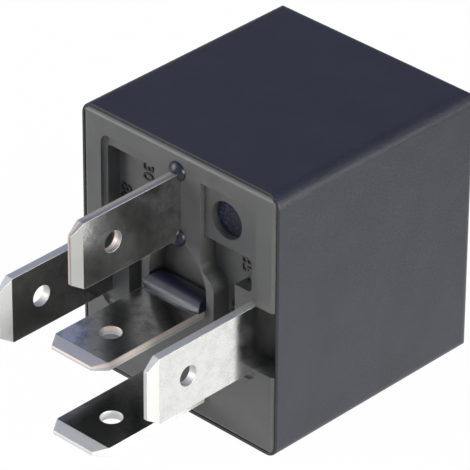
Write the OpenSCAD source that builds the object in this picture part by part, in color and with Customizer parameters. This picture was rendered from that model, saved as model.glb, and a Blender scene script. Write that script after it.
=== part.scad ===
// Plug-in automotive relay, change-over type, in millimetres.
// The relay lies on its side: +Y runs into the case, +Z is up, and the five blades point along -Y.
// The origin is the middle of the seating plane, which is the front of the base.

/* [Case] */
// Width of the case
case_w = 22.8; // [22:0.1:26]
// Height of the case as it lies
case_h = 25.6; // [25:0.1:28]
// Length of the case behind the seating plane
case_l = 24.5; // [24.4:0.1:28]
// Wall of the cover
wall = 0.9; // [0.8:0.05:1]
// Radius of the long edges of the cover
edge_r = 1.3; // [0.8:0.1:2]
// Thickness of the lip round the mouth of the cover
lip = 0.3; // [0.25:0.05:0.5]

/* [Base] */
// Width of the raised rim
rim_w = 2.1; // [1.6:0.1:2.3]
// Depth of the panel inside the rim
panel_d = 0.45; // [0.2:0.05:0.6]
// Depth of the pockets
pocket_d = 1.8; // [1:0.1:2]
// Depth of the arched recess above the middle blade
arch_d = 1.9; // [1.2:0.1:2.1]
// Diameter of the resin well
well_dia = 3.45; // [3:0.05:4]

/* [Blades] */
// Width of each blade
blade_w = 6.3; // [6.2:0.05:6.4]
// Thickness of each blade
blade_t = 0.8; // [0.75:0.01:0.85]
// Length of each blade in front of the seating plane
blade_out = 12.4; // [10:0.1:13]
// Diameter of the hole in each blade
hole_dia = 1.9; // [1.6:0.1:2.2]
// From the tip of a blade to its hole
hole_from_tip = 4.55; // [4:0.05:5]

/* [Blade places] */
// Height of the middle of blade 30
z_30 = 7.5; // [7.3:0.1:7.7]
// Height of blade 87a
z_87a = -1.9; // [-2:0.1:-1.8]
// Height of blade 87
z_87 = -10.35; // [-10.5:0.05:-10.3]
// From the middle to each coil blade
x_coil = 8.6; // [8.5:0.05:8.7]
// Height of the middle of the coil blades
z_coil = -1.6; // [-1.7:0.1:-1.5]

/* [Relay works] */
// Height of the axis of the coil
z_core = 2.7; // [2.6:0.05:2.8]
// Diameter of the core
core_dia = 6; // [5:0.1:6.4]
// Diameter of the pole face
pole_dia = 8; // [7:0.1:8.4]
// Outer diameter of the winding
winding_dia = 12; // [10:0.1:12.6]
// Depth of the closed armature's inner face
arm_y = 18.7; // [18.6:0.05:18.75]
// Angle at which the armature stands open
open_deg = 3.2; // [2.8:0.1:3.3]

/* [Hidden] */
$fn = 48;
eps = 0.01;
over = 1;

// Cover
seam_y = 0.2;
inner_r = 0.5;

// Base
flange_t = 3.2;
plinth_t = 1.2;
base_t = flange_t + plinth_t;
base_w = case_w - 2 * lip;
base_h = case_h - 2 * lip;
rim_round = 0.55;
panel_x = base_w / 2 - rim_w;
panel_top = base_h / 2 - rim_w + 0.2;
panel_bottom = -6;
panel_fillet = 0.4;
panel_round = 0.9;
neck_x = 2.65;
hub_x = 4.2;
flare_r = 1.6;
flare_z = 1.5;
shoulder_drop = 1.1;
turn_r = 1.05;
turn_z = 1.35;
turn_w = 0.7;
turn_h = 1.2;
lap = 0.1;
pocket_r = 0.4;
pocket_x = [panel_x - 0.4, panel_x - 0.9];
pocket_top = [panel_top - 1.1, 5.4];
pocket_low = -4.8;
arch_x = 3.35;
arch_r = 4.6;
arch_z = -0.2;
boss_x = 6.2;
boss_top = 2.2;
notch_d = 2.3;
notch_w = 3;
well_x = 5.25;
well_z = 7.95;
well_d = 2.9;
vent_r = 0.5;
plug_y = 1.1;
bead_r = 0.9;
bead_d = 0.6;
bead_dome = 1.15;
bead_gap = 0.02;
bead_y = 0.45;
bead_sink = 0.5;
bead_roll = 1.58;
bead_end_r = 0.9;
bead_sweep = 20;

// Blades
bevel_len = 1.2;
bevel_tip = 0.36;
corner_cut = 0.85;
corner_len = 1.3;

// Yoke and coil
yoke_w = 11;
yoke_t = 1.5;
yoke_foot = -3;
yoke_out = z_core + 8.3;
hinge_r = 0.4;
hinge_gap = 0.02;
hinge_y = arm_y - hinge_r - hinge_gap;
hinge_z = yoke_out - yoke_t + hinge_r;
yoke_end = hinge_y + hinge_r - 0.2;
coil_y = base_t + yoke_t;
flange_h = 0.8;
pole_gap = 0.05;
pole_y = arm_y - pole_gap;
pole_t = 1.55;
bobbin_end = pole_y - pole_t;
tube_wall = 0.6;
cheek = 6.6;
turn_pitch = 0.48;
turn_dip = 0.12;
rivet_shank = 2;

// Coil pins and the resistor
pin_r = 0.35;
pin_wall = 0.25;
pin_x = x_coil - blade_t / 2 - pin_r - pin_wall;
pin_z = z_coil - 0.9;
pin_y = [5.2, 8.7];
wire_r = 0.1;
ear_w = 1.6;
wrap_l = 1.2;
tail_z = [z_coil - 2, z_coil];
tail_y = 8.7;
tongue_l = 0.6;
resistor_y = 6.6;
resistor_z = -5.4;
resistor_r = 1.15;
resistor_l = 6.3;
lead_r = 0.3;

// Armature, spring and contacts
arm_t = 1.4;
arm_w = 11;
arm_z = [-4.2, hinge_z + 0.3];
arm_nose = 7;
spring_t = 0.25;
spring_w = 8;
spring_tongue = 4.4;
spring_y = arm_y + arm_t;
spring_end = -9.9;
bend_r = 0.75;
leg_low = 12;
contact_z = -8.1;
contact_r = 1.6;
contact_t = 0.7;
contact_face = 1.1;
contact_gap = 0.04;
contact_shank = 0.7;
rivet_r = 0.9;
rivet_t = 0.45;
rivet_hole = 0.55;
arm_rivet_z = -2.6;
arm_rivet_x = 2.2;
yoke_rivet_y = 15;
yoke_rivet_x = 2.5;
plate_t = 0.8;
plate_87_w = 5.2;
plate_87_y = 17.5;
plate_87_z = -6.4;
riser_x = 7.4;
riser_z = [-9.5, -6.5];
foot_y = 2.6;
bridge_y = 22.72;
rest_top = hinge_y + (spring_y + spring_t + contact_t - hinge_y) * cos(open_deg)
    + (hinge_z - contact_z + contact_face) * sin(open_deg);

// Colours
case_black = [0.12, 0.13, 0.18];
base_grey = [0.28, 0.28, 0.27];
tin = [0.78, 0.78, 0.76];
resin_blue = [0.13, 0.14, 0.22];
bobbin_cream = [0.82, 0.78, 0.66];
copper = [0.72, 0.38, 0.2];
steel = [0.6, 0.6, 0.62];
bronze = [0.72, 0.52, 0.3];
silver = [0.86, 0.86, 0.88];
resistor_blue = [0.35, 0.5, 0.62];

// A flat rectangle centred on the origin with true round corners
module round_rect(w, h, r) {
    square([w - 2 * r, h], center = true);
    square([w, h - 2 * r], center = true);
    for (sx = [-1, 1], sy = [-1, 1])
        translate([sx * (w / 2 - r), sy * (h / 2 - r)]) circle(r);
}

// Stands a flat outline drawn in X and Z between two depths
module in_depth(y0, y1) {
    translate([0, y1, 0]) rotate([90, 0, 0]) linear_extrude(y1 - y0) children();
}

// A box between two corners
module block(a, b) {
    translate(a) cube(b - a);
}

// A box with its long edges and its back edges rounded
module round_back_box(w, h, y0, y1, r, rb) {
    intersection() {
        in_depth(y0, y1) round_rect(w, h, r);
        translate([0, (y0 + y1) / 2 - over, 0]) linear_extrude(h + 2 * over, center = true)
            round_rect(w, y1 - y0 + 2 * over, rb);
        translate([0, (y0 + y1) / 2 - over, 0]) rotate([0, 90, 0])
            linear_extrude(w + 2 * over, center = true) round_rect(h, y1 - y0 + 2 * over, rb);
    }
}

// A box whose front edges are rounded as well as its long edges
module round_front_box(w, h, y0, y1, r, rf) {
    mirror([0, 1, 0]) round_back_box(w, h, -y1, -y0, r, rf);
}

// A round bar along Y
module bar(x, z, r, y0, y1) {
    translate([x, y1, z]) rotate([90, 0, 0]) cylinder(r = r, h = y1 - y0);
}

// Turns what belongs to the armature from closed to its rest
module opened() {
    translate([0, hinge_y, hinge_z]) rotate([open_deg, 0, 0]) translate([0, -hinge_y, -hinge_z]) children();
}

// ---------------------------------------------------------------- case

module cover() {
    color(case_black) difference() {
        round_back_box(case_w, case_h, seam_y, case_l, edge_r, edge_r);
        in_depth(0, flange_t) round_rect(base_w, base_h, edge_r - lip);
        round_back_box(case_w - 2 * wall, case_h - 2 * wall, 0, case_l - wall, edge_r - wall, inner_r);
    }
}

// The hub: a neck that flares out round the middle blade
module hub_outline() {
    shoulder_z = flare_z - shoulder_drop;
    translate([-neck_x, panel_bottom - over]) square([2 * neck_x, panel_top - panel_bottom + 2 * over]);
    translate([-hub_x, panel_bottom - over]) square([2 * hub_x, shoulder_z - panel_bottom + over]);
    for (s = [-1, 1]) {
        // convex shoulder
        intersection() {
            translate([s * (hub_x - flare_r), shoulder_z]) circle(flare_r);
            translate([-hub_x, shoulder_z - lap]) square([2 * hub_x, flare_r + over]);
        }
        // concave turn up to the neck
        difference() {
            translate([s > 0 ? neck_x - lap : -neck_x - turn_w, flare_z]) square([turn_w + lap, turn_h]);
            translate([s * (neck_x + turn_r), flare_z + turn_z]) circle(turn_r);
        }
    }
}

// The recess above the middle blade: straight jambs and a pointed arch on them
module arch_outline() {
    translate([-arch_x, z_87a + blade_t / 2]) square([2 * arch_x, arch_z - z_87a - blade_t / 2 + eps]);
    intersection() {
        translate([arch_x - arch_r, arch_z]) circle(arch_r);
        translate([arch_r - arch_x, arch_z]) circle(arch_r);
        translate([-arch_x, z_87a + blade_t / 2]) square([2 * arch_x, 2 * arch_r]);
    }
}

// A rectangle between two corners with round corners
module rect_at(x0, x1, z0, z1, r) {
    translate([(x0 + x1) / 2, (z0 + z1) / 2]) round_rect(x1 - x0, z1 - z0, r);
}

// The deep pockets: one beside each coil blade's boss, and a wider one above it
module pocket_outline() {
    difference() {
        union() {
            rect_at(-pocket_x[0], 0, boss_top, pocket_top[0], pocket_r);
            rect_at(0, pocket_x[1], boss_top, pocket_top[1], pocket_r);
            rect_at(-boss_x, boss_x, pocket_low, boss_top + 1, pocket_r);
        }
        hub_outline();
    }
}

module base() {
    color(base_grey) difference() {
        union() {
            round_front_box(base_w, base_h, 0, flange_t, edge_r - lip, rim_round);
            in_depth(flange_t - eps, base_t)
                round_rect(case_w - 2 * wall, case_h - 2 * wall, edge_r - wall);
        }
        // sunken panel inside the rim, with a filleted foot
        difference() {
            translate([0, 0, (panel_top + panel_bottom) / 2])
                round_back_box(2 * panel_x, panel_top - panel_bottom, -over, panel_d, panel_round, panel_fillet);
            in_depth(-2 * over, panel_d + over) hub_outline();
        }
        in_depth(0, pocket_d) pocket_outline();
        in_depth(-over, arch_d) arch_outline();
        // resin well with its vent
        bar(well_x, well_z, well_dia / 2, -over, well_d);
        bar(well_x, well_z, vent_r, well_d - over, base_t + over);
        // cups for the beads at the ends of blade 30
        for (e = [-1, 1]) bar(0, z_30 + e * blade_w / 2, bead_r, -over, bead_d);
        // side notches beside the coil blades
        for (s = [-1, 1])
            translate([s > 0 ? x_coil + blade_t / 2 : -x_coil - blade_t / 2 - notch_w, -over, z_coil - blade_w / 2])
                cube([notch_w, notch_d + over, blade_w]);
        // slots for the terminals
        terminal_30();
        terminal_85();
        terminal_86();
        terminal_87();
        terminal_87a();
    }
}

module sealing_resin() {
    color(resin_blue) {
        // plug in the well
        bar(well_x, well_z, well_dia / 2, plug_y, well_d);
        // bead over the root of the middle blade
        intersection() {
            translate([0, bead_y, z_87a + blade_t / 2 - bead_sink]) rotate([0, 90, 0])
                cylinder(r = bead_roll, h = 2 * (arch_x - bead_gap), center = true);
            translate([0, bead_y - bead_roll + bead_sweep, z_87a]) cylinder(r = bead_sweep, h = 2 * bead_roll);
            in_depth(-bead_roll, arch_d) intersection() {
                rect_at(-arch_x, arch_x, z_87a - 2 * bead_end_r, z_87a + blade_t / 2 + bead_roll - bead_sink, bead_end_r);
                translate([-arch_x, z_87a + blade_t / 2]) square([2 * arch_x, 2 * bead_roll]);
            }
        }
        // beads at the ends of blade 30
        for (e = [-1, 1]) difference() {
            intersection() {
                bar(0, z_30 + e * blade_w / 2, bead_r - bead_gap, -over, bead_d);
                translate([0, bead_d, z_30 + e * blade_w / 2]) sphere(bead_dome);
            }
            terminal_30();
        }
    }
}

// ---------------------------------------------------------------- terminals

// A blade lying flat in X and Y, middle at x = 0 and z = 0, from its tip back to depth y1
module flat_blade(y1) {
    difference() {
        intersection() {
            // plan, with the tip's corners cut
            translate([0, 0, -blade_t]) linear_extrude(2 * blade_t) polygon([
                [-blade_w / 2, y1], [-blade_w / 2, -blade_out + corner_len],
                [-blade_w / 2 + corner_cut, -blade_out], [blade_w / 2 - corner_cut, -blade_out],
                [blade_w / 2, -blade_out + corner_len], [blade_w / 2, y1]]);
            // side view, with the tip bevelled on both faces
            rotate([90, 0, 90]) linear_extrude(blade_w + 1, center = true) polygon([
                [y1, -blade_t / 2], [-blade_out + bevel_len, -blade_t / 2],
                [-blade_out, -bevel_tip / 2], [-blade_out, bevel_tip / 2],
                [-blade_out + bevel_len, blade_t / 2], [y1, blade_t / 2]]);
        }
        translate([0, -blade_out + hole_from_tip, -blade_t]) cylinder(d = hole_dia, h = 2 * blade_t);
    }
}

module upright_blade(x, z, y1) {
    translate([x, 0, z]) rotate([0, 90, 0]) flat_blade(y1);
}

module terminal_30() {
    color(tin) upright_blade(0, z_30, base_t);
}

// A coil terminal with the tail that carries the pin and the resistor's lead
module coil_terminal(s) {
    x0 = s * x_coil - blade_t / 2;
    x1 = s * x_coil + blade_t / 2;
    color(tin) difference() {
        union() {
            upright_blade(s * x_coil, z_coil, base_t);
            block([x0, base_t - eps, tail_z[0]], [x1, tail_y, tail_z[1]]);
            block([x0, resistor_y - 1, resistor_z - 0.7], [x1, resistor_y + 1, tail_z[0] + eps]);
            // tongue that the coil pin is welded to
            block([s > 0 ? pin_x + pin_r : -x_coil, tail_y - tongue_l, pin_z - 0.5],
                  [s > 0 ? x_coil : -pin_x - pin_r, tail_y, pin_z + 0.5]);
        }
        translate([x0 - over, resistor_y, resistor_z]) rotate([0, 90, 0])
            cylinder(r = lead_r, h = blade_t + 2 * over);
    }
}

module terminal_85() {
    coil_terminal(1);
}

module terminal_86() {
    coil_terminal(-1);
}

module terminal_87() {
    color(tin) {
        translate([0, 0, z_87]) flat_blade(base_t - 0.5);
        block([-plate_87_w / 2, base_t - 0.6, z_87 - plate_t / 2],
              [plate_87_w / 2, plate_87_y + plate_t, z_87 + plate_t / 2]);
        block([-plate_87_w / 2, plate_87_y, z_87], [plate_87_w / 2, plate_87_y + plate_t, plate_87_z]);
    }
}

module terminal_87a() {
    color(tin) {
        translate([0, 0, z_87a]) flat_blade(foot_y + plate_t);
        block([-blade_w / 2, foot_y, riser_z[0]], [blade_w / 2, foot_y + plate_t, z_87a]);
        block([0, foot_y, riser_z[0]], [riser_x + plate_t, foot_y + plate_t, riser_z[1]]);
        block([riser_x, foot_y, riser_z[0]], [riser_x + plate_t, bridge_y + plate_t, riser_z[1]]);
        block([-1.8, bridge_y, riser_z[0]], [riser_x + plate_t, bridge_y + plate_t, riser_z[1]]);
    }
}

// ---------------------------------------------------------------- coil and iron

module bobbin() {
    color(bobbin_cream) difference() {
        union() {
            bar(0, z_core, core_dia / 2 + tube_wall, coil_y, bobbin_end);
            for (y = [coil_y, bobbin_end - flange_h])
                translate([0, 0, z_core]) in_depth(y, y + flange_h) round_rect(2 * cheek, 2 * cheek, 2);
            // ears that hold the coil pins
            for (s = [-1, 1])
                block([s > 0 ? 0 : -pin_x - pin_r - pin_wall, coil_y, pin_z - ear_w / 2],
                      [s > 0 ? pin_x + pin_r + pin_wall : 0, coil_y + flange_h, pin_z + ear_w / 2]);
        }
        bar(0, z_core, core_dia / 2, coil_y - over, bobbin_end + over);
        for (s = [-1, 1]) bar(s * pin_x, pin_z, pin_r, coil_y - over, coil_y + 2);
    }
}

// Half the section of the winding, with one dip for each turn that shows
function turns_outline(h, n) = concat(
    [[core_dia / 2 + tube_wall, 0]],
    [for (i = [0 : n]) each [[winding_dia / 2 - turn_dip, i * h / n],
                             if (i < n) [winding_dia / 2, (i + 0.5) * h / n]]],
    [[core_dia / 2 + tube_wall, h]]);

module coil_winding() {
    h = bobbin_end - coil_y - 2 * flange_h;
    color(copper) {
        translate([0, bobbin_end - flange_h, z_core]) rotate([90, 0, 0])
            rotate_extrude() polygon(turns_outline(h, floor(h / turn_pitch)));
        // the two ends of the wire, led out to the pins and wrapped round them
        for (s = [-1, 1]) {
            dx = s * pin_x;
            dz = pin_z - z_core;
            len = norm([dx, dz]);
            turn = atan2(dx, -dz);
            translate([0, coil_y + flange_h + 0.3, z_core]) rotate([0, -turn, 0])
                translate([0, 0, -len + pin_r + wire_r]) cylinder(r = wire_r, h = len - pin_r - winding_dia / 2 + 0.2);
            difference() {
                bar(dx, pin_z, pin_r + 2 * wire_r, coil_y + flange_h, coil_y + flange_h + wrap_l);
                bar(dx, pin_z, pin_r, coil_y, coil_y + flange_h + 2 * wrap_l);
            }
        }
    }
}

module coil_pins() {
    color(tin) for (s = [-1, 1]) bar(s * pin_x, pin_z, pin_r, pin_y[0], pin_y[1]);
}

module core() {
    color(steel) {
        bar(0, z_core, rivet_shank, base_t, coil_y + eps);
        bar(0, z_core, core_dia / 2, coil_y, bobbin_end + eps);
        bar(0, z_core, pole_dia / 2, bobbin_end, pole_y);
    }
}

module yoke() {
    inner = yoke_out - yoke_t;
    color(steel) difference() {
        union() {
            block([-yoke_w / 2, base_t, yoke_foot], [yoke_w / 2, coil_y, yoke_out]);
            block([-yoke_w / 2, base_t, inner], [yoke_w / 2, yoke_end, yoke_out]);
            // round edge that the armature rocks on
            translate([-yoke_w / 2, hinge_y, hinge_z]) rotate([0, 90, 0]) cylinder(r = hinge_r, h = yoke_w);
        }
        // outer corner of the bend, and the inner edge in front of the round edge
        translate([0, base_t, yoke_out]) rotate([45, 0, 0]) cube([yoke_w + 2, 1.2, 1.2], center = true);
        difference() {
            block([-yoke_w, hinge_y, inner - over], [yoke_w, hinge_y + over, hinge_z]);
            translate([-yoke_w, hinge_y, hinge_z]) rotate([0, 90, 0]) cylinder(r = hinge_r, h = 2 * yoke_w);
        }
        bar(0, z_core, rivet_shank, base_t - over, coil_y + over);
        for (s = [-1, 1]) translate([s * yoke_rivet_x, yoke_rivet_y, inner - over])
            cylinder(r = rivet_hole, h = yoke_t + 2 * over);
    }
}

module armature() {
    color(steel) opened() difference() {
        in_depth(arm_y, arm_y + arm_t) polygon([
            [-arm_nose / 2, arm_z[0]], [arm_nose / 2, arm_z[0]], [arm_w / 2, arm_z[0] + 2.2],
            [arm_w / 2, arm_z[1]], [-arm_w / 2, arm_z[1]], [-arm_w / 2, arm_z[0] + 2.2]]);
        for (s = [-1, 1]) bar(s * arm_rivet_x, arm_rivet_z, rivet_hole, arm_y - over, arm_y + arm_t + over);
    }
}

// ---------------------------------------------------------------- spring and contacts

// The spring seen from its side, in Y and Z: the leaf on the armature, the bend and the leg on the yoke
module spring_profile() {
    bend_y = spring_y - bend_r;
    bend_z = yoke_out - bend_r;
    translate([leg_low, yoke_out]) square([bend_y + 0.1 - leg_low, spring_t]);
    translate([hinge_y, hinge_z]) rotate(open_deg) translate([-hinge_y, -hinge_z]) {
        translate([spring_y, spring_end]) square([spring_t, bend_z - spring_end]);
        intersection() {
            translate([bend_y, bend_z]) difference() {
                circle(bend_r + spring_t);
                circle(bend_r);
            }
            translate([bend_y, bend_z]) square(2 * bend_r);
        }
    }
}

module contact_spring() {
    side = (spring_w - spring_tongue) / 2;
    color(bronze) difference() {
        rotate([90, 0, 90]) linear_extrude(spring_w, center = true) spring_profile();
        opened() {
            // narrow tongue that carries the contact
            for (s = [-1, 1])
                translate([s * (spring_tongue + side + over) / 2, spring_y, spring_end - over])
                    translate([-(side + over) / 2, -over, 0]) cube([side + over, 3, arm_z[0] - spring_end]);
            for (s = [-1, 1]) bar(s * arm_rivet_x, arm_rivet_z, rivet_hole, spring_y - 1, spring_y + 1);
            bar(0, contact_z, contact_shank, spring_y - 1, spring_y + 1);
        }
        for (s = [-1, 1]) translate([s * yoke_rivet_x, yoke_rivet_y, yoke_out - 1])
            cylinder(r = rivet_hole, h = 3);
    }
}

module armature_rivets() {
    color(steel) opened() for (s = [-1, 1]) {
        bar(s * arm_rivet_x, arm_rivet_z, rivet_hole, arm_y, spring_y + spring_t + eps);
        bar(s * arm_rivet_x, arm_rivet_z, rivet_r, spring_y + spring_t, spring_y + spring_t + rivet_t);
    }
}

module yoke_rivets() {
    color(steel) for (s = [-1, 1]) translate([s * yoke_rivet_x, yoke_rivet_y, 0]) {
        translate([0, 0, yoke_out - yoke_t]) cylinder(r = rivet_hole, h = yoke_t + spring_t + eps);
        translate([0, 0, yoke_out + spring_t]) cylinder(r = rivet_r, h = rivet_t);
    }
}

// A turned piece about the contacts' axis, from a section drawn in radius and depth
module turned_contact(section) {
    translate([0, 0, contact_z]) rotate([-90, 0, 0]) rotate_extrude() polygon(section);
}

module moving_contact() {
    back = spring_y - contact_t;
    front = spring_y + spring_t + contact_t;
    color(silver) opened() turned_contact([
        [0, back], [contact_face, back], [contact_r, back + 0.25], [contact_r, spring_y],
        [contact_shank, spring_y], [contact_shank, spring_y + spring_t], [contact_r, spring_y + spring_t],
        [contact_r, front - 0.25], [contact_face, front], [0, front]]);
}

module open_contact() {
    foot = plate_87_y + plate_t;
    face = spring_y - contact_t - contact_gap;
    color(silver) turned_contact([
        [0, foot], [contact_r, foot], [contact_r, face - 0.25], [contact_face, face], [0, face]]);
}

module closed_contact() {
    face = rest_top + contact_gap;
    color(silver) turned_contact([
        [0, face], [contact_face, face], [contact_r, face + 0.25], [contact_r, bridge_y], [0, bridge_y]]);
}

module suppression_resistor() {
    reach = x_coil + blade_t / 2 + 0.4;
    color(resistor_blue) translate([0, resistor_y, resistor_z]) rotate([0, 90, 0]) {
        rotate_extrude() polygon([
            [0, -reach], [lead_r, -reach], [lead_r, -resistor_l / 2], [resistor_r, -resistor_l / 2 + 0.3],
            [resistor_r, -resistor_l / 2 + 1.3], [resistor_r - 0.15, -resistor_l / 2 + 1.6],
            [resistor_r - 0.15, resistor_l / 2 - 1.6], [resistor_r, resistor_l / 2 - 1.3],
            [resistor_r, resistor_l / 2 - 0.3], [lead_r, resistor_l / 2], [lead_r, reach], [0, reach]]);
    }
}

cover();
base();
terminal_30();
terminal_85();
terminal_86();
terminal_87();
terminal_87a();
sealing_resin();
bobbin();
coil_winding();
coil_pins();
core();
yoke();
armature();
contact_spring();
armature_rivets();
yoke_rivets();
moving_contact();
open_contact();
closed_contact();
suppression_resistor();
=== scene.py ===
"""Dresses a plug-in automotive relay: its finishes, figures, stage and camera."""

import math

import bmesh
import bpy
from bpy.props import FloatProperty, FloatVectorProperty, PointerProperty, StringProperty
from mathutils import Matrix, Vector


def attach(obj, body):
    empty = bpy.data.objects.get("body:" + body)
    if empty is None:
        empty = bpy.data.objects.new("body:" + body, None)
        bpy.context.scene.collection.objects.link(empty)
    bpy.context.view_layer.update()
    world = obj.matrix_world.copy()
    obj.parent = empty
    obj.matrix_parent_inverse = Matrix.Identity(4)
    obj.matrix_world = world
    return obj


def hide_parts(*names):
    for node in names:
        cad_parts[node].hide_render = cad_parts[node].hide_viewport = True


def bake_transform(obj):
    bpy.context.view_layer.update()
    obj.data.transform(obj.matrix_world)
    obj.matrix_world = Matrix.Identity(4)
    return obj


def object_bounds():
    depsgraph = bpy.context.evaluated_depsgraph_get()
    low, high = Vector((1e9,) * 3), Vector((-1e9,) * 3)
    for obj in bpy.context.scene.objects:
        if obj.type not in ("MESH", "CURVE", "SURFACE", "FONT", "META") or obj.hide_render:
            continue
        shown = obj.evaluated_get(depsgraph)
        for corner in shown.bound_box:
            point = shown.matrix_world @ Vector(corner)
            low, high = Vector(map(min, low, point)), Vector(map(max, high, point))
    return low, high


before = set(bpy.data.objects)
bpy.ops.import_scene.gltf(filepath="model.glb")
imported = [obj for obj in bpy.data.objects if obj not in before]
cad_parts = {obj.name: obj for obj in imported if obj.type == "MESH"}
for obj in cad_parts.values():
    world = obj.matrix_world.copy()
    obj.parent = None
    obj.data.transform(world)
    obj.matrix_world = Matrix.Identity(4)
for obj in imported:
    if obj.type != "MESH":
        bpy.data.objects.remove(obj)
CAD_BOX = [list(corner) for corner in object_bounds()]

bl_info = {
    "name": "Automotive relay",
    "version": (1, 0, 0),
    "blender": (4, 5, 0),
    "location": "View3D > Sidebar > Relay",
    "description": "Dresses a plug-in relay with its plastics, tinned blades, resin and stage",
    "category": "Object",
}

MM = 0.001
HOUSING = "housing"

# How a copy that stands for a node is cleaned and shaded, its creases in degrees
WELD = 0.002 * MM
FLAT_WITHIN = math.radians(0.6)
CREASE = 40
BLADE_CREASE = 9

# How each blade lies, where the middle of its thickness is, how bright its plating and its
# edges are (painted light: the same tin made lighter or darker on each blade, and darker on its
# edges, for how light and reflections fall on it), on which side of its sheared edges the copper
# shows (0 for none), and how much it has been handled
BLADES = {
    "terminal_30": ("upright", 0.0, 0.82, 0.34, -1, 0.85),
    "terminal_85": ("upright", 8.6 * MM, 1.0, 0.6, 0, 0.2),
    "terminal_86": ("upright", -8.6 * MM, 0.5, 0.6, 0, 0.6),
    "terminal_87": ("flat", -10.35 * MM, 0.52, 0.75, 0, 0.6),
    "terminal_87a": ("flat", -1.9 * MM, 0.74, 0.62, 1, 0.7),
}
ACROSS = {"upright": 0, "flat": 2}
# How squarely a surface looks across the blade: broad faces above, sheared edges below
BROAD_FACE = 0.992
SHEARED_EDGE = 0.45
COPPER_FROM = -0.02 * MM
COPPER_LIFT = 0.35

# The resin in the well lies to the right of this
WELL_SIDE = 3.45 * MM

# Moulded figures: each one's number and its place on the pocket floor, in X and Z millimetres
FIGURES = (
    ("figure_30", "30", (-5.2, 7.6)),
    ("figure_86", "86", (-7.8, 4.6)),
    ("figure_85", "85", (6.3, 3.6)),
    ("figure_87a", "87a", (5.2, -1.6)),
)
FIGURE_TURN = math.radians(90)
# Painted shade: the figures and the pointer are darkened to this part of the base's grey, though
# moulded of the same plastic
FIGURE_PAINTED_SHADE = 0.2
POINTER_AT = (6.5, 1.7)

# Colours of the pieces inside the case
STEEL = (0.55, 0.56, 0.58)
SILVER = (0.86, 0.86, 0.88)
BOBBIN_CREAM = (0.72, 0.66, 0.52)
ENAMELLED_COPPER = (0.5, 0.16, 0.06)
BRONZE = (0.66, 0.42, 0.22)
TINNED_PIN = (0.8, 0.8, 0.78)
TINNED_LEAD = (0.7, 0.7, 0.7)
RESISTOR_BLUE = (0.2, 0.34, 0.5)
# The resistor's bands: the place of each along it in millimetres, and its colour
BANDS = ((-1.2, (0.3, 0.12, 0.03)), (-0.3, (0.02, 0.02, 0.02)), (0.6, (0.35, 0.03, 0.02)))
BAND_HALF = 0.22 * MM
LEADS_FROM = 3.2 * MM

# The stage
FLOOR_HALF = 3.0
FLOOR_GAP = 0.01 * MM
PALE = (0.8, 0.8, 0.8)
WHITE = (1, 1, 1)
# Painted pool of light that reflections see on the floor: white within about this radius, fading to
# this grey
FAR_GREY = (0.42, 0.42, 0.42)
NEAR_RADIUS = 0.075
FLOOR_SEEN = 0.985
SKY = (
    (0.0, (0.58, 0.58, 0.58)),
    (0.45, (0.42, 0.44, 0.54)),
    (1.0, (0.23, 0.27, 0.47)),
)
# Soft boxes: place, size, power and colour
LAMPS = {
    "front_soft_box": ((-0.27, -0.31, 0.11), 0.22, 1.3, (1.0, 1.0, 0.97)),
    "top_soft_box": ((-0.24, -0.14, 0.3), 0.18, 0.22, (0.92, 0.95, 1.0)),
    "right_soft_box": ((0.38, 0.02, 0.0), 0.24, 4.8, (1.0, 1.0, 0.93)),
}
CAMERA_AIM = (0, 5 * MM, 0)
SENSOR = 36
NEAR_CLIP = 0.01


def dimmed(colour, amount):
    """A colour times an amount, no part of it over 1."""
    return tuple(min(1.0, part * amount) for part in colour)


# ------------------------------------------------------------------ node trees


class Signal:
    """One output socket, with arithmetic that adds the Math nodes it needs."""

    def __init__(self, finish, socket):
        self.finish = finish
        self.socket = socket

    def _math(self, operation, *values):
        return self.finish.add("ShaderNodeMath", {"operation": operation}, *values)

    def __add__(self, other):
        return self._math("ADD", self, other)

    def __radd__(self, other):
        return self._math("ADD", other, self)

    def __sub__(self, other):
        return self._math("SUBTRACT", self, other)

    def __rsub__(self, other):
        return self._math("SUBTRACT", other, self)

    def __mul__(self, other):
        return self._math("MULTIPLY", self, other)

    def __rmul__(self, other):
        return self._math("MULTIPLY", other, self)

    def __truediv__(self, other):
        return self._math("DIVIDE", self, other)

    def __rtruediv__(self, other):
        return self._math("DIVIDE", other, self)

    def __abs__(self):
        return self._math("ABSOLUTE", self)

    def above(self, level):
        return self._math("GREATER_THAN", self, level)

    def below(self, level):
        return self._math("LESS_THAN", self, level)


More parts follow.
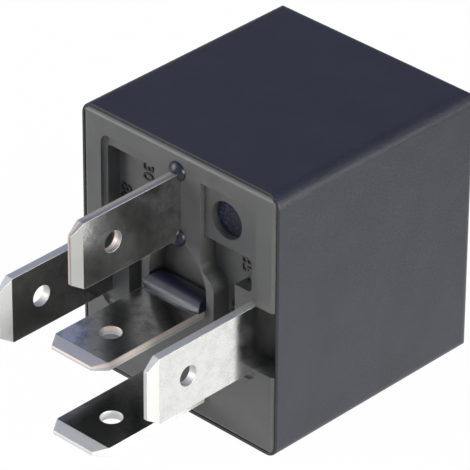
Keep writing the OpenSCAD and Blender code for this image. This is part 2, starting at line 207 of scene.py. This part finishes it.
class Finish:
    """A material's or a world's node tree."""

    def __init__(self, tree):
        self.tree = tree
        tree.nodes.clear()

    def node(self, kind, settings=None, *values, **named):
        """Makes a node: its settings first, then its sockets' values or links."""
        node = self.tree.nodes.new(kind)
        for key, value in (settings or {}).items():
            if key == "stops":
                self._set_stops(node.color_ramp, value)
            else:
                setattr(node, key, value)
        for index, value in enumerate(values):
            self._feed(node.inputs[index], value)
        for key, value in named.items():
            self._feed(self._input(node, key), value)
        return node

    def _set_stops(self, ramp, stops):
        while len(ramp.elements) < len(stops):
            ramp.elements.new(0.5)
        for element, (place, colour) in zip(ramp.elements, stops):
            element.position = place
            element.color = (*colour, 1.0)

    def _input(self, node, key):
        label = key.replace("_", " ").lower()
        for socket in node.inputs:
            if socket.enabled and socket.name.lower() == label:
                return socket
        raise KeyError(f"{node.bl_idname} has no input {label}")

    def _feed(self, socket, value):
        if isinstance(value, Signal):
            self.tree.links.new(value.socket, socket)
        elif socket.type == "RGBA":
            socket.default_value = (*value, 1.0)
        else:
            socket.default_value = value

    def add(self, kind, settings=None, *values, **named):
        """Makes a node and gives its first live output."""
        node = self.node(kind, settings, *values, **named)
        return Signal(self, next(socket for socket in node.outputs if socket.enabled))

    def outputs(self, kind, *names):
        """Makes a node that needs no input and gives the outputs that are named."""
        node = self.node(kind)
        return [Signal(self, node.outputs[name]) for name in names]

    def places(self):
        """Object coordinates, in metres."""
        return self.outputs("ShaderNodeTexCoord", "Object")[0]

    def split(self, vector):
        node = self.node("ShaderNodeSeparateXYZ", None, vector)
        return [Signal(self, socket) for socket in node.outputs]

    def stretched(self, vector, scale):
        return self.add("ShaderNodeMapping", None, vector, (0, 0, 0), (0, 0, 0), scale)

    def noise(self, vector, grain, detail=3.0, rough=0.5):
        """Noise whose grains are about that many metres across."""
        return self.add("ShaderNodeTexNoise", None, Vector=vector, Scale=1 / grain,
                        Detail=detail, Roughness=rough)

    def ramp(self, value, stops):
        return self.add("ShaderNodeValToRGB", {"stops": stops}, value)

    def level(self, value, low, high, to_low=0.0, to_high=1.0):
        """Takes a value between two levels to a value between two others, and no further."""
        return self.add("ShaderNodeMapRange", {"clamp": True}, value, low, high, to_low, to_high)

    def blend(self, amount, one, other):
        return self.add("ShaderNodeMix", {"data_type": "RGBA"}, Factor=amount, A=one, B=other)

    def bump(self, height, strength, depth):
        return self.add("ShaderNodeBump", None, Strength=strength, Distance=depth, Height=height)

    def skin(self, **named):
        """Closes the tree with a Principled shader."""
        self.close(self.add("ShaderNodeBsdfPrincipled", None, **named))

    def close(self, shader, kind="ShaderNodeOutputMaterial"):
        self.node(kind, None, shader)


def new_finish(name):
    material = bpy.data.materials.new(name)
    material.use_nodes = True
    return material, Finish(material.node_tree)


# ------------------------------------------------------------------ finishes


def case_plastic(colour):
    """Satin black moulding with a fine even grain and faint cloudy gloss."""
    material, f = new_finish("case_plastic")
    at = f.places()
    grain = f.noise(at, 0.2 * MM, 4, 0.6)
    cloud = f.noise(at, 4 * MM, 3)
    drift = f.level(grain * 0.7 + cloud * 0.3, 0.36, 0.64)
    f.skin(Base_Color=f.blend(drift, dimmed(colour, 0.6), dimmed(colour, 1.4)),
           Roughness=f.level(grain, 0.35, 0.65, 0.4, 0.52),
           Normal=f.bump(grain, 0.5, 0.04 * MM))
    return material


def base_plastic(colour):
    """Dark grey moulding, a little mottled, with a fine drag texture."""
    material, f = new_finish("base_plastic")
    at = f.places()
    grain = f.noise(at, 0.12 * MM, 4)
    cloud = f.noise(at, 2.4 * MM, 3)
    mottle = f.level(cloud, 0.3, 0.75)
    f.skin(Base_Color=f.blend(mottle, dimmed(colour, 0.84), dimmed(colour, 1.12)),
           Roughness=f.level(cloud, 0.3, 0.7, 0.4, 0.55),
           Normal=f.bump(grain, 0.25, 0.02 * MM))
    return material


def tinned_blade(node, colour, copper):
    """Tin plate: rolled lengthwise, speckled and handled, with copper at its sheared edges, and
    with painted light that makes each blade and its edges lighter or darker.
    """
    # plating and edges are painted light: each blade's brightness is set for how light and
    # reflections fall on it
    lie, centre, plating, edges, copper_side, handled = BLADES[node]
    axis = ACROSS[lie]
    material, f = new_finish(f"tin_{node}")
    at = f.places()
    across = f.split(at)[axis] - centre
    facing = abs(f.split(f.outputs("ShaderNodeNewGeometry", "Normal")[0])[axis])
    broad = facing.above(BROAD_FACE)
    rolled = f.noise(f.stretched(at, (1, 0.08, 1)), 0.1 * MM, 3)
    speck = f.noise(at, 0.17 * MM, 5, 0.75)
    stain = f.noise(at, 1.5 * MM, 5, 0.65)
    # clean metal with painted light, each blade's faces and edges made lighter or darker for how
    # light falls on it, then wear on the broad faces and specks all over
    clean_metal_painted_light = f.blend(broad, dimmed(colour, edges), dimmed(colour, plating))
    wear = f.level(stain, 0.45, 0.68) * handled
    dull = f.level(speck, 0.5, 0.62) * (1.05 - plating) + f.level(speck, 0.55, 0.65) * 0.22
    shade = f.blend((wear + dull * 0.7) * broad + dull * 0.2, clean_metal_painted_light, dimmed(colour, 0.36 * plating))
    if copper_side:
        torn = facing.below(SHEARED_EDGE) * (across * copper_side).above(COPPER_FROM)
        shade = f.blend(torn * f.level(speck, 0.35, 0.55, 0.5, 1.0), shade,
                        dimmed(copper, edges + COPPER_LIFT))
    polish = f.level(speck * 0.5 + stain * 0.5, 0.38, 0.62, 0.11, 0.25)
    f.skin(Base_Color=shade, Metallic=0.6 + broad * 0.4, Roughness=polish + (1 - broad) * 0.34,
           Normal=f.bump(rolled * 0.5 + speck * 0.5, 0.16, 0.014 * MM))
    return material


def epoxy(colour):
    """Set blue-black resin: smooth on the beads, pitted in the well, with painted glints on its
    pits there.
    """
    material, f = new_finish("sealing_resin")
    at = f.places()
    in_well = f.split(at)[0].above(WELL_SIDE)
    pits = f.noise(at, 0.3 * MM, 5, 0.7)
    swell = f.noise(at, 1.6 * MM, 2)
    # Painted highlight: bright specks on the pits in the well stand in for glints of light
    painted_glint = f.level(pits, 0.55, 0.66) * in_well
    height = pits * (in_well * 0.95 + 0.02) + swell * 0.25
    f.skin(Base_Color=f.blend(painted_glint, colour, dimmed(colour, 9)),
           Roughness=f.level(pits, 0.3, 0.7, 0.3, 0.44), Normal=f.bump(height, 0.9, 0.2 * MM))
    return material


def works_finish(name, colour, rough, metallic=0.0, grain=0.2 * MM):
    """A finish for the pieces inside: one colour that drifts a little, with its own grain."""
    material, f = new_finish(name)
    at = f.places()
    fine = f.noise(at, grain, 4)
    cloud = f.noise(at, 14 * grain, 3)
    f.skin(Base_Color=f.blend(f.level(cloud, 0.3, 0.7), dimmed(colour, 0.88), dimmed(colour, 1.12)),
           Metallic=metallic, Roughness=f.level(fine, 0.3, 0.7, rough * 0.8, rough * 1.2),
           Normal=f.bump(fine, 0.15, 0.02 * MM))
    return material


def banded_lacquer(colour):
    """A resistor's lacquer with three plain bands and tinned leads."""
    material, f = new_finish("resistor_body")
    at = f.places()
    along = f.split(at)[0]
    grain = f.noise(at, 0.2 * MM, 3)
    shade = f.blend(f.level(grain, 0.3, 0.7), colour, dimmed(colour, 1.2))
    for place, band in BANDS:
        shade = f.blend(abs(along - place * MM).below(BAND_HALF), shade, band)
    lead = abs(along).above(LEADS_FROM)
    f.skin(Base_Color=f.blend(lead, shade, TINNED_LEAD), Metallic=lead,
           Roughness=f.level(grain, 0.3, 0.7, 0.22, 0.34), Normal=f.bump(grain, 0.1, 0.02 * MM))
    return material


def wear_finish(piece, material):
    piece.data.materials.clear()
    piece.data.materials.append(material)


# ------------------------------------------------------------------ making pieces


def new_piece(name, bm, material, body=HOUSING, crease=CREASE):
    """Makes a piece of a bmesh. It rides on a body, or on none."""
    mesh = bpy.data.meshes.new(name)
    bm.to_mesh(mesh)
    bm.free()
    mesh.shade_smooth()
    mesh.set_sharp_from_angle(angle=math.radians(crease))
    piece = bpy.data.objects.new(name, mesh)
    bpy.context.scene.collection.objects.link(piece)
    wear_finish(piece, material)
    if body:
        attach(piece, body)
    return piece


def merged_copy(node):
    """A node's mesh with its loose triangles joined."""
    bm = bmesh.new()
    bm.from_mesh(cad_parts[node].data)
    bmesh.ops.remove_doubles(bm, verts=bm.verts, dist=WELD)
    return bm


def eased_copy(node, name, material, width, segments=2, turn=24, crease=CREASE):
    """Stands for a node: the same solid with its sharp edges eased, as making leaves them."""
    bm = merged_copy(node)
    bmesh.ops.dissolve_limit(bm, angle_limit=FLAT_WITHIN, verts=bm.verts, edges=bm.edges)
    sharp = [e for e in bm.edges if e.is_manifold and e.calc_face_angle(0) > math.radians(turn)]
    bmesh.ops.bevel(bm, geom=sharp, affect="EDGES", offset=width, segments=segments, profile=0.5,
                    material=-1, clamp_overlap=True)
    piece = new_piece(name, bm, material, crease=crease)
    even = piece.modifiers.new("even_shading", "WEIGHTED_NORMAL")
    even.keep_sharp = True
    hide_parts(node)


def leaf_spring(material):
    """The bent leaf, a joined copy of the contact spring that rides on no body."""
    bent = merged_copy("contact_spring")
    spring = new_piece("leaf_spring", bent, material, body=None)
    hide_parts("contact_spring")
    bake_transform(spring)


def figure_piece(name, text, place, sizes, material):
    """A raised moulded figure on a face that looks along -Y."""
    curve = bpy.data.curves.new(name, "FONT")
    curve.body = text
    curve.size = sizes.figure
    curve.extrude = sizes.raise_by / 2
    curve.align_x = "CENTER"
    curve.align_y = "CENTER"
    curve.resolution_u = 3
    shell = bpy.data.objects.new(name + "_curve", curve)
    bpy.context.scene.collection.objects.link(shell)
    bpy.context.view_layer.update()
    drawn = shell.evaluated_get(bpy.context.evaluated_depsgraph_get())
    mesh = bpy.data.meshes.new_from_object(drawn)
    bpy.data.objects.remove(shell)
    upright = Matrix.Rotation(math.radians(90), 4, "X")
    mesh.transform(Matrix.Translation(place) @ Matrix.Rotation(FIGURE_TURN, 4, "Y") @ upright)
    bm = bmesh.new()
    bm.from_mesh(mesh)
    bpy.data.meshes.remove(mesh)
    bmesh.ops.remove_doubles(bm, verts=bm.verts, dist=WELD)
    new_piece(name, bm, material)


def pointer_piece(place, sizes, material):
    """A small raised triangle on a face that looks along -Y."""
    bm = bmesh.new()
    bmesh.ops.create_cone(bm, cap_ends=True, segments=3, radius1=sizes.pointer,
                          radius2=sizes.pointer - sizes.pointer_draft, depth=sizes.raise_by)
    bmesh.ops.rotate(bm, verts=bm.verts, matrix=Matrix.Rotation(math.radians(90), 3, "X"))
    bmesh.ops.translate(bm, verts=bm.verts, vec=place)
    new_piece("pointer", bm, material)


# ------------------------------------------------------------------ sizes and colours


def colour_property(name, description, default):
    return FloatVectorProperty(name=name, description=description, subtype="COLOR", size=3,
                               min=0, max=1, default=default)


def length_property(name, description, default):
    return FloatProperty(name=name, description=description, unit="LENGTH", default=default)


def angle_property(name, description, degrees):
    return FloatProperty(name=name, description=description, subtype="ANGLE",
                         default=math.radians(degrees))


class RelayColours(bpy.types.PropertyGroup):
    case: colour_property("Case", "Colour of the cover", (0.0115, 0.0125, 0.0195))
    base: colour_property("Base", "Colour of the moulded base", (0.08, 0.08, 0.077))
    tin: colour_property("Tin", "Colour of the plating", (0.84, 0.84, 0.82))
    copper: colour_property("Sheared copper", "Bare copper at the sheared edges", (0.8, 0.67, 0.58))
    resin: colour_property("Resin", "Colour of the set resin", (0.006, 0.008, 0.02))


class RelaySizes(bpy.types.PropertyGroup):
    case_ease: length_property("Case edge", "Ease on the cover's sharp edges", 0.06 * MM)
    blade_ease: length_property("Blade edge", "Ease on a blade's edges", 0.05 * MM)
    base_ease: length_property("Base edge", "Ease on the base's edges", 0.17 * MM)
    bead_ease: length_property("Bead edge", "Rounding where the resin meets air", 0.16 * MM)
    figure: length_property("Figures", "Height of the moulded figures", 1.7 * MM)
    raise_by: length_property("Figure depth", "How far the figures stand out", 0.12 * MM)
    pointer: length_property("Pointer", "Radius of the moulded triangle", 0.75 * MM)
    pointer_draft: length_property("Pointer draft", "How much its top is smaller", 0.05 * MM)
    pocket: length_property("Pocket floor", "Depth of the base's pockets", 1.8 * MM)


class RelayView(bpy.types.PropertyGroup):
    azimuth: angle_property("Azimuth", "Camera's angle round the relay", 43.885)
    elevation: angle_property("Elevation", "Camera's angle above the floor", 31.849)
    roll: angle_property("Roll", "Camera's roll", 0.345)
    distance: length_property("Distance", "From the camera to its target", 371.4 * MM)
    lens: FloatProperty(name="Lens", description="Focal length in millimetres", default=338.6)
    aside: length_property("Aside", "Target's shift to the right", 1.313 * MM)
    upward: length_property("Upward", "Target's shift upward", 1.92 * MM)
    camera_name: StringProperty(name="Camera name", description="Name of the camera",
                                default="relay_camera")


# ------------------------------------------------------------------ operators


class RELAY_OT_stage(bpy.types.Operator):
    """Set the floor, the soft light and the camera"""

    bl_idname = "relay.stage"
    bl_label = "Stage"

    def execute(self, context):
        self.floor()
        self.world(context.scene)
        self.lamps()
        self.camera(context.scene)
        return {"FINISHED"}

    def floor(self):
        """A pale floor that the camera sees white, but for the relay's shadow, and that reflections
        see as a painted pool of light, white near the relay and grey further out.
        """
        material, f = new_finish("floor")
        seen, mirrored, through = f.outputs(
            "ShaderNodeLightPath", "Is Camera Ray", "Is Glossy Ray", "Is Transmission Ray")
        matt = f.add("ShaderNodeBsdfDiffuse", None, Color=PALE)
        # Painted pool of light: the floor glows white to reflections near the relay, fading to grey
        # further out
        x, y, _ = f.split(f.places())
        away = (x * x + y * y) / (NEAR_RADIUS * NEAR_RADIUS)
        painted_glow_falloff = f.blend(f.level(away, 0.1, 1.6), WHITE, FAR_GREY)
        reflected = f.add("ShaderNodeEmission", None, Color=painted_glow_falloff, Strength=1.0)
        shown = f.add("ShaderNodeEmission", None, Color=WHITE, Strength=1.0)
        bright = f.add("ShaderNodeMixShader", None, mirrored, shown, reflected)
        amount = f.level(seen * FLOOR_SEEN + mirrored + through, 0, 1)
        f.close(f.add("ShaderNodeMixShader", None, amount, matt, bright))
        bm = bmesh.new()
        bmesh.ops.create_grid(bm, x_segments=1, y_segments=1, size=FLOOR_HALF)
        bmesh.ops.translate(bm, verts=bm.verts, vec=(0, 0, CAD_BOX[0][2] - FLOOR_GAP))
        mesh = bpy.data.meshes.new("floor")
        bm.to_mesh(mesh)
        bm.free()
        floor = bpy.data.objects.new("floor", mesh)
        bpy.context.scene.collection.objects.link(floor)
        wear_finish(floor, material)

    def world(self, scene):
        """A soft studio, bluer towards the top, that is white to the camera."""
        world = bpy.data.worlds.new("studio")
        scene.world = world
        world.use_nodes = True
        f = Finish(world.node_tree)
        _, y, z = f.split(f.outputs("ShaderNodeTexCoord", "Generated")[0])
        seen = f.outputs("ShaderNodeLightPath", "Is Camera Ray")[0]
        sky = f.ramp(f.level(z + y * 0.35, -0.2, 1.0), SKY)
        studio = f.add("ShaderNodeBackground", None, Color=f.blend(seen, sky, WHITE), Strength=1.0)
        f.close(studio, "ShaderNodeOutputWorld")

    def lamps(self):
        for name, (place, size, power, colour) in LAMPS.items():
            light = bpy.data.lights.new(name, "AREA")
            light.shape = "SQUARE"
            light.size = size
            light.energy = power
            light.color = colour
            lamp = bpy.data.objects.new(name, light)
            lamp.location = place
            lamp.rotation_euler = (-lamp.location).to_track_quat("-Z", "Y").to_euler()
            bpy.context.scene.collection.objects.link(lamp)

    def camera(self, scene):
        view = scene.relay_view
        a, e, r = view.azimuth, view.elevation, view.roll
        back = Vector((math.sin(a) * math.cos(e), -math.cos(a) * math.cos(e), math.sin(e)))
        right = Vector((math.cos(a), math.sin(a), 0))
        up = back.cross(right)
        side = math.cos(r) * right + math.sin(r) * up
        top = -math.sin(r) * right + math.cos(r) * up
        target = Vector(CAMERA_AIM) + view.aside * side + view.upward * top
        data = bpy.data.cameras.new(view.camera_name)
        data.lens = view.lens
        data.sensor_width = SENSOR
        data.clip_start = NEAR_CLIP
        camera = bpy.data.objects.new(view.camera_name, data)
        turned = Matrix((side, top, back)).transposed().to_4x4()
        camera.matrix_world = Matrix.Translation(target + back * view.distance) @ turned
        scene.collection.objects.link(camera)
        scene.camera = camera
        scene.view_settings.view_transform = "Standard"


class RELAY_OT_case(bpy.types.Operator):
    """Finish the moulded cover"""

    bl_idname = "relay.case"
    bl_label = "Case"

    def execute(self, context):
        scene = context.scene
        plastic = case_plastic(tuple(scene.relay_colours.case))
        eased_copy("cover", "cover_shell", plastic, scene.relay_sizes.case_ease)
        return {"FINISHED"}


class RELAY_OT_base(bpy.types.Operator):
    """Finish the moulded base and add its figures"""

    bl_idname = "relay.base"
    bl_label = "Base"

    def execute(self, context):
        sizes = context.scene.relay_sizes
        grey = tuple(context.scene.relay_colours.base)
        plastic = base_plastic(grey)
        eased_copy("base", "base_moulding", plastic, sizes.base_ease)
        # Painted shade on the figures and pointer, which are of the base's own plastic
        painted_shade_plastic = base_plastic(dimmed(grey, FIGURE_PAINTED_SHADE))
        y = sizes.pocket - sizes.raise_by / 2
        for name, text, (x, z) in FIGURES:
            figure_piece(name, text, Vector((x * MM, y, z * MM)), sizes, painted_shade_plastic)
        x, z = POINTER_AT
        pointer_piece(Vector((x * MM, y, z * MM)), sizes, painted_shade_plastic)
        return {"FINISHED"}


class RELAY_OT_blades(bpy.types.Operator):
    """Plate the five blades"""

    bl_idname = "relay.blades"
    bl_label = "Blades"

    def execute(self, context):
        colours = context.scene.relay_colours
        ease = context.scene.relay_sizes.blade_ease
        for node in BLADES:
            tin = tinned_blade(node, tuple(colours.tin), tuple(colours.copper))
            name = node.replace("terminal", "blade")
            eased_copy(node, name, tin, ease, crease=BLADE_CREASE)
        return {"FINISHED"}


class RELAY_OT_resin(bpy.types.Operator):
    """Finish the sealing resin"""

    bl_idname = "relay.resin"
    bl_label = "Resin"

    def execute(self, context):
        resin = epoxy(tuple(context.scene.relay_colours.resin))
        ease = context.scene.relay_sizes.bead_ease
        eased_copy("sealing_resin", "resin_beads", resin, ease,
                   segments=4, turn=50)
        return {"FINISHED"}


class RELAY_OT_works(bpy.types.Operator):
    """Finish the coil, iron, spring and contacts inside the case"""

    bl_idname = "relay.works"
    bl_label = "Works"

    def execute(self, context):
        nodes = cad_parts
        iron = works_finish("plated_steel", STEEL, 0.32, 1.0)
        silver = works_finish("contact_silver", SILVER, 0.22, 1.0)
        wear_finish(nodes["bobbin"], works_finish("bobbin_plastic", BOBBIN_CREAM, 0.45))
        wear_finish(nodes["coil_winding"],
                    works_finish("copper_wire", ENAMELLED_COPPER, 0.3, 0.6, 0.1 * MM))
        leaf_spring(works_finish("spring_bronze", BRONZE, 0.28, 1.0))
        wear_finish(nodes["coil_pins"], works_finish("tinned_pin", TINNED_PIN, 0.25, 1.0))
        wear_finish(nodes["suppression_resistor"], banded_lacquer(RESISTOR_BLUE))
        for name in ("core", "yoke", "armature", "armature_rivets", "yoke_rivets"):
            wear_finish(nodes[name], iron)
        for name in ("moving_contact", "open_contact", "closed_contact"):
            wear_finish(nodes[name], silver)
        return {"FINISHED"}


STEPS = (RELAY_OT_stage, RELAY_OT_case, RELAY_OT_base, RELAY_OT_blades, RELAY_OT_resin,
         RELAY_OT_works)


class RELAY_PT_panel(bpy.types.Panel):
    """The relay's colours, sizes and steps"""

    bl_idname = "RELAY_PT_panel"
    bl_label = "Relay"
    bl_space_type = "VIEW_3D"
    bl_region_type = "UI"
    bl_category = "Relay"

    def draw(self, context):
        layout = self.layout
        scene = context.scene
        for group in (scene.relay_colours, scene.relay_sizes, scene.relay_view):
            box = layout.box()
            for key in group.__annotations__:
                box.prop(group, key)
        for step in STEPS:
            layout.operator(step.bl_idname)


CLASSES = (RelayColours, RelaySizes, RelayView) + STEPS + (RELAY_PT_panel,)


def register():
    for cls in CLASSES:
        bpy.utils.register_class(cls)
    bpy.types.Scene.relay_colours = PointerProperty(type=RelayColours)
    bpy.types.Scene.relay_sizes = PointerProperty(type=RelaySizes)
    bpy.types.Scene.relay_view = PointerProperty(type=RelayView)


def unregister():
    del bpy.types.Scene.relay_colours
    del bpy.types.Scene.relay_sizes
    del bpy.types.Scene.relay_view
    for cls in reversed(CLASSES):
        bpy.utils.unregister_class(cls)


def main():
    register()
    bpy.ops.relay.stage()
    bpy.ops.relay.case()
    bpy.ops.relay.base()
    bpy.ops.relay.blades()
    bpy.ops.relay.resin()
    bpy.ops.relay.works()


if __name__ == "__main__":
    main()
